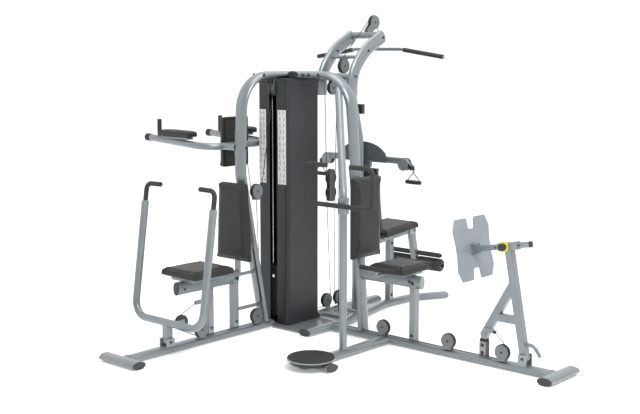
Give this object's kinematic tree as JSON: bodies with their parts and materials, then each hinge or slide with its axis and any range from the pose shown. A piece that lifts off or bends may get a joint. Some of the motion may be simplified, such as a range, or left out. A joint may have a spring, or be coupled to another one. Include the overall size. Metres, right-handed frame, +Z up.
{
  "type": "multi station home gym",
  "caption": "Home gym with a central covered weight tower, chest press, leg press, knee raise, twister and pulldown stations on oval tube frames.",
  "frame": {"origin": "on the floor under the centre of the weight tower", "axes": "+X along the leg press beam, away from the tower; +Y towards the pulldown station; +Z up"},
  "size_m": [3.1367, 3.0204, 2.2399],
  "materials": {
    "frame_paint": "satin silver grey paint",
    "cover_plastic": "fine textured charcoal paint",
    "cap_plastic": "black moulded",
    "rod_chrome": "polished",
    "weight_iron": "black painted",
    "pin_steel": "zinc plated",
    "upholstery": "dark grey synthetic leather",
    "foam": "closed cell foam",
    "plate_paint": "pale grey blue paint",
    "knob_plastic": "black knob",
    "disc_black": "moulded with a non slip tread",
    "strap_webbing": "woven strap",
    "bar_chrome": "dark grey paint",
    "wheel_plastic": "black nylon",
    "cable_coating": "black coated steel cable"
  },
  "bodies": {
    "frame": {"arch_front": "frame_paint", "arch_side": "frame_paint", "base_beam_rear": "frame_paint", "base_frame_front": "frame_paint", "base_frame_side": "frame_paint", "base_frame_twister": "frame_paint", "base_rail_side": "frame_paint", "cable_pulleys": "wheel_plastic", "cables": "cable_coating", "frame_bolts": "pin_steel", "front_back_pad": "upholstery", "front_seat_frame": "frame_paint", "front_seat_pad": "upholstery", "guide_rods": "rod_chrome", "knee_raise_arm_pads": "upholstery", "knee_raise_back_pad": "upholstery", "knee_raise_frame": "frame_paint", "knee_raise_grips": "foam", "leg_press_stop": "frame_paint", "pulldown_boom": "frame_paint", "pulley_brackets": "frame_paint", "rear_back_pad": "upholstery", "rear_seat_frame": "frame_paint", "rear_seat_pad": "upholstery", "rear_upright": "frame_paint", "side_back_pad": "upholstery", "side_seat_frame": "frame_paint", "side_seat_grips": "foam", "side_seat_pad": "upholstery", "swivel_index_plate": "frame_paint", "tower_base_plate": "frame_paint", "tower_cover_left": "cover_plastic", "tower_cover_right": "cover_plastic", "tube_end_caps": "cap_plastic", "twister_handrail": "foam", "twister_post": "frame_paint", "weight_plates": "weight_iron"},
    "press_arm": {"press_arm": "frame_paint", "press_grips": "foam"},
    "front_stack": {"front_stack_lift": "weight_iron"},
    "front_pin": {"front_selector_pin": "pin_steel"},
    "leg_press": {"leg_press_arm": "frame_paint"},
    "rear_stack": {"rear_stack_lift": "weight_iron"},
    "rear_pin": {"rear_selector_pin": "pin_steel"},
    "foot_plate_carriage": {"foot_plate_bar": "frame_paint", "foot_plate": "plate_paint"},
    "adjuster": {"adjuster_knob": "knob_plastic"},
    "leg_extension": {"leg_extension_arm": "frame_paint"},
    "rollers": {"leg_rollers": "foam"},
    "left_cable_arm": {"cable_arm_left": "frame_paint"},
    "right_cable_arm": {"cable_arm_right": "frame_paint"},
    "left_handle": {"cable_handle_left": "strap_webbing"},
    "right_handle": {"cable_handle_right": "strap_webbing"},
    "lat_bar": {"lat_bar": "bar_chrome", "lat_bar_grips": "foam"},
    "twister": {"twister_disc": "disc_black"},
    "side_pulley_inner": {"side_pulley_inner": "wheel_plastic"},
    "side_pulley_middle": {"side_pulley_middle": "wheel_plastic"},
    "side_pulley_outer": {"side_pulley_outer": "wheel_plastic"},
    "floating_block": {"floating_pulley_block": "wheel_plastic"}
  },
  "joints": [
    {"name": "press_arm_swing", "type": "hinge", "parent": "frame", "child": "press_arm", "pos_m": [0, -1.18, 0.076], "axis": [1, 0, 0], "range_deg": [0, 36]},
    {"name": "front_stack_lift", "type": "slide", "parent": "frame", "child": "front_stack", "axis": [0, 0, 1], "range_m": [0, 0.25], "deforming": ["cables"]},
    {"name": "front_pin_pull", "type": "slide", "parent": "front_stack", "child": "front_pin", "axis": [0, -1, 0], "range_m": [0, 0.05]},
    {"name": "leg_press_swing", "type": "hinge", "parent": "frame", "child": "leg_press", "pos_m": [2.004, 0, 0.092], "axis": [0, 1, 0], "range_deg": [0, 22]},
    {"name": "rear_stack_lift", "type": "slide", "parent": "frame", "child": "rear_stack", "axis": [0, 0, 1], "range_m": [0, 0.06]},
    {"name": "rear_pin_pull", "type": "slide", "parent": "rear_stack", "child": "rear_pin", "axis": [0, 1, 0], "range_m": [0, 0.05]},
    {"name": "foot_plate_slide", "type": "slide", "parent": "leg_press", "child": "foot_plate_carriage", "axis": [0.9819, 0, 0.1893], "range_m": [-0.07, 0.1]},
    {"name": "adjuster_knob_pull", "type": "slide", "parent": "leg_press", "child": "adjuster", "axis": [0, -1, 0], "range_m": [0, 0.012], "stiffness_N_per_m": 400},
    {"name": "leg_extension_swing", "type": "hinge", "parent": "frame", "child": "leg_extension", "pos_m": [0.265, 1.132, 0.57], "axis": [1, 0, 0], "range_deg": [0, 80]},
    {"name": "leg_roller_spin", "type": "hinge", "parent": "leg_extension", "child": "rollers", "pos_m": [0.265, 1.205, 0.3], "axis": [1, 0, 0], "continuous": true},
    {"name": "cable_arm_left_swing", "type": "hinge", "parent": "frame", "child": "left_cable_arm", "pos_m": [0.203, 0.557, 1.188], "axis": [0, 1, 0], "range_deg": [-10, 60]},
    {"name": "cable_arm_right_swing", "type": "hinge", "parent": "frame", "child": "right_cable_arm", "pos_m": [0.327, 0.557, 1.188], "axis": [0, 1, 0], "range_deg": [-60, 10]},
    {"name": "handle_left_swing", "type": "hinge", "parent": "left_cable_arm", "child": "left_handle", "pos_m": [-0.183, 0.557, 1.114], "axis": [0, 1, 0], "range_deg": [-30, 30]},
    {"name": "handle_right_swing", "type": "hinge", "parent": "right_cable_arm", "child": "right_handle", "pos_m": [0.713, 0.557, 1.114], "axis": [0, 1, 0], "range_deg": [-30, 30]},
    {"name": "lat_bar_pull", "type": "slide", "parent": "frame", "child": "lat_bar", "axis": [0, 0, -1], "range_m": [0, 0.6]},
    {"name": "twister_spin", "type": "hinge", "parent": "frame", "child": "twister", "pos_m": [0.94, -0.8, 0.054], "axis": [0, 0, 1], "continuous": true},
    {"name": "side_pulley_inner_spin", "type": "hinge", "parent": "frame", "child": "side_pulley_inner", "pos_m": [0.909, -0.028, 0.108], "axis": [0, 1, 0], "range_deg": [-90, 90]},
    {"name": "side_pulley_middle_spin", "type": "hinge", "parent": "frame", "child": "side_pulley_middle", "pos_m": [1.449, -0.028, 0.108], "axis": [0, 1, 0], "range_deg": [-90, 90]},
    {"name": "side_pulley_outer_spin", "type": "hinge", "parent": "frame", "child": "side_pulley_outer", "pos_m": [1.859, -0.028, 0.108], "axis": [0, 1, 0], "range_deg": [-90, 90]},
    {"name": "floating_block_travel", "type": "slide", "parent": "frame", "child": "floating_block", "axis": [0, 0, 1], "range_m": [-0.03, 0.03]}
  ],
  "couplings": [
    {"joint": "front_stack_lift", "follows": "press_arm_swing", "m_per_rad": 0.34},
    {"joint": "rear_stack_lift", "follows": "leg_press_swing", "m_per_rad": 0.126},
    {"joint": "side_pulley_inner_spin", "follows": "leg_press_swing", "ratio": -3},
    {"joint": "side_pulley_middle_spin", "follows": "leg_press_swing", "ratio": -3},
    {"joint": "side_pulley_outer_spin", "follows": "leg_press_swing", "ratio": -3},
    {"joint": "floating_block_travel", "follows": "leg_press_swing", "m_per_rad": -0.063}
  ]
}
